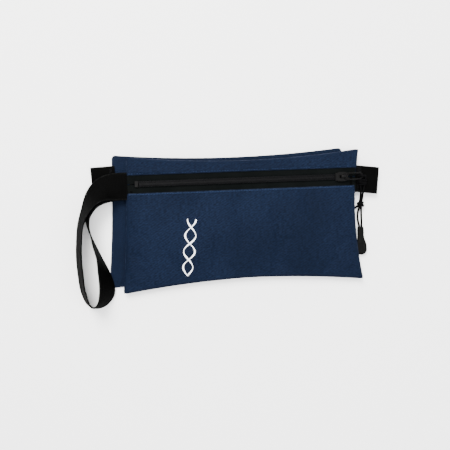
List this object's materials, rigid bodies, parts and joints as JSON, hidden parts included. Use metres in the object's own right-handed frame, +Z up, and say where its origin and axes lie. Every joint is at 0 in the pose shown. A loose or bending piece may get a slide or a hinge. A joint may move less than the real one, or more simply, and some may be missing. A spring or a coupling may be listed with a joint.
{
  "type": "zipped cash deposit bag",
  "caption": "Flat zipped cloth pouch with a folded gusset, a cord zip puller, seam tabs and a webbing wrist strap, lying on its back.",
  "frame": {"origin": "centre of the back panel on the face that the bag lies on", "axes": "+X along the zip towards its closed end, +Y towards the zip edge, +Z up from the table"},
  "size_m": [0.3633, 0.1793, 0.0331],
  "materials": {
    "cloth": "plain woven coated nylon, navy",
    "webbing": "woven black webbing",
    "binding": "grosgrain binding tape, black",
    "black_thread": "bonded thread, black",
    "blue_thread": "bonded thread, blue",
    "zip_tape": "knitted zip tape, black",
    "zip_coil": "nylon coil, black",
    "slider_enamel": "black enamel on die-cast metal",
    "spring_steel": "bare spring steel",
    "cord": "braided cord, black",
    "grip_rubber": "moulded soft grip, satin black"
  },
  "bodies": {
    "back": {"back_panel": "cloth", "back_binding": "binding", "gusset_top": "cloth", "gusset_bottom": "cloth", "gusset_left": "cloth", "gusset_right": "cloth", "left_tab": "webbing", "left_tab_bartack": "black_thread"},
    "front": {"front_binding": "binding", "front_lower_panel": "cloth", "header_band": "cloth", "zip_tape_lower": "zip_tape", "zip_coil_lower": "zip_coil", "zip_top_stops": "slider_enamel", "zip_bottom_stop": "slider_enamel", "zip_stitching_lower": "blue_thread"},
    "lip": {"header_lip": "cloth", "zip_tape_upper": "zip_tape", "zip_coil_upper": "zip_coil", "zip_stitching_upper": "blue_thread"},
    "slider": {"slider_body": "slider_enamel", "slider_crown": "slider_enamel", "slider_lock_spring": "spring_steel"},
    "bail": {"slider_bail": "slider_enamel"},
    "puller": {"tie_cord": "cord"},
    "grip": {"tie_knot": "cord", "pull_cord": "cord", "pull_grip": "grip_rubber"},
    "strap": {"wrist_strap": "webbing"},
    "right_tab": {"right_tab": "webbing", "right_tab_bartack": "black_thread"}
  },
  "joints": [
    {"name": "expand", "type": "slide", "parent": "back", "child": "front", "axis": [0, 0, 1], "range_m": [0, 0.02], "deforming": ["gusset_top", "gusset_bottom", "gusset_left", "gusset_right"]},
    {"name": "mouth_open", "type": "hinge", "parent": "front", "child": "lip", "pos_m": [0.018, 0.063, 0.0113], "axis": [-1, 0, 0], "range_deg": [0, 75], "deforming": ["zip_tape_upper", "zip_coil_upper"]},
    {"name": "zip_slide", "type": "slide", "parent": "front", "child": "slider", "axis": [-1, 0, 0], "range_m": [0, 0.231], "deforming": ["zip_tape_lower", "zip_coil_lower"]},
    {"name": "bail_flip", "type": "hinge", "parent": "slider", "child": "bail", "pos_m": [0.13801, 0.0405, 0.01535], "axis": [0, -1, 0], "range_deg": [0, 160]},
    {"name": "puller_lift", "type": "hinge", "parent": "bail", "child": "puller", "pos_m": [0.15826, 0.0405, 0.01535], "axis": [1, 0, 0], "range_deg": [-110, 0], "deforming": ["tie_cord", "tie_knot", "pull_cord", "pull_grip"]},
    {"name": "grip_swing", "type": "hinge", "parent": "puller", "child": "grip", "pos_m": [0.1594, 0.007, 0.0042], "axis": [0, 0, 1], "range_deg": [0, 30]},
    {"name": "strap_swing", "type": "hinge", "parent": "front", "child": "strap", "pos_m": [-0.11921, 0.039, 0.0111], "axis": [0, 1, 0], "range_deg": [0, 60]},
    {"name": "right_tab_flex", "type": "hinge", "parent": "front", "child": "right_tab", "pos_m": [0.15381, 0.0395, 0.0072], "axis": [0, -1, 0], "range_deg": [-15, 0], "stiffness_Nm_per_rad": 0.05}
  ],
  "couplings": [
    {"joint": "mouth_open", "follows": "zip_slide", "rad_per_m": 5.6591},
    {"joint": "bail_flip", "follows": "zip_slide", "rad_per_m": 12.081}
  ]
}
